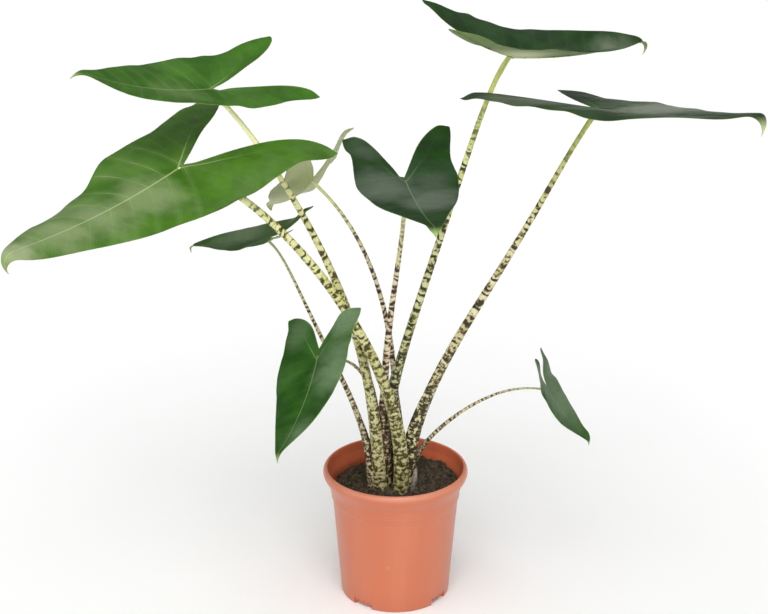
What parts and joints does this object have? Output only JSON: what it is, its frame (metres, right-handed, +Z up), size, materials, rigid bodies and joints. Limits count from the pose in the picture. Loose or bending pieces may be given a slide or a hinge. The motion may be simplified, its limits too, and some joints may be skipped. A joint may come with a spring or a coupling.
{
  "type": "potted zebrina alocasia",
  "caption": "Potted zebrina alocasia: arrow-shaped leaves with backward lobes on tall zebra-banded stalks, rising from soil in a round plastic nursery pot with a rolled rim.",
  "frame": {"origin": "centre of the pot's flat underside, on the pot's axis", "axes": "+Z up along the pot's axis; the plant is seen from the front looking along +Y, with the widest leaves to -X (left) and +X (right)"},
  "size_m": [0.7312, 0.3646, 0.7014],
  "materials": {
    "pot": "satin injection-moulded plastic in terracotta orange",
    "soil": "moist dark peat with moss, crumbly",
    "stem": "rough brown stem with ringed leaf scars",
    "spent_sheath": "dry papery grey-brown leaf sheath",
    "blade_left_wide": "leathery green leaf with a soft waxy sheen",
    "blade_left_high": "leathery green leaf with a soft waxy sheen",
    "blade_right_high": "leathery green leaf with a soft waxy sheen",
    "blade_right_wide": "leathery green leaf with a soft waxy sheen",
    "blade_front_middle": "leathery green leaf with a soft waxy sheen",
    "blade_back_left": "leathery green leaf with a soft waxy sheen",
    "blade_left_small": "leathery green leaf with a soft waxy sheen",
    "blade_front_low": "leathery green leaf with a soft waxy sheen",
    "blade_right_small": "leathery green leaf with a soft waxy sheen",
    "stalk_left_wide": "smooth cream-green leaf stalk with dark zebra bands",
    "stalk_left_high": "smooth cream-green leaf stalk with dark zebra bands",
    "stalk_right_high": "smooth cream-green leaf stalk with dark zebra bands",
    "stalk_right_wide": "smooth cream-green leaf stalk with dark zebra bands",
    "stalk_front_middle": "smooth cream-green leaf stalk with dark zebra bands",
    "stalk_back_left": "smooth cream-green leaf stalk with dark zebra bands",
    "stalk_left_small": "smooth cream-green leaf stalk with dark zebra bands",
    "stalk_front_low": "smooth cream-green leaf stalk with dark zebra bands",
    "stalk_right_small": "smooth cream-green leaf stalk with dark zebra bands"
  },
  "bodies": {
    "root": {"pot": "pot", "soil": "soil", "stem": "stem", "spent_sheath": "spent_sheath", "blade_left_wide": "blade_left_wide", "blade_left_high": "blade_left_high", "blade_right_high": "blade_right_high", "blade_right_wide": "blade_right_wide", "blade_front_middle": "blade_front_middle", "blade_back_left": "blade_back_left", "blade_left_small": "blade_left_small", "blade_front_low": "blade_front_low", "blade_right_small": "blade_right_small", "stalk_left_wide": "stalk_left_wide", "stalk_left_high": "stalk_left_high", "stalk_right_high": "stalk_right_high", "stalk_right_wide": "stalk_right_wide", "stalk_front_middle": "stalk_front_middle", "stalk_back_left": "stalk_back_left", "stalk_left_small": "stalk_left_small", "stalk_front_low": "stalk_front_low", "stalk_right_small": "stalk_right_small"}
  },
  "joints": []
}
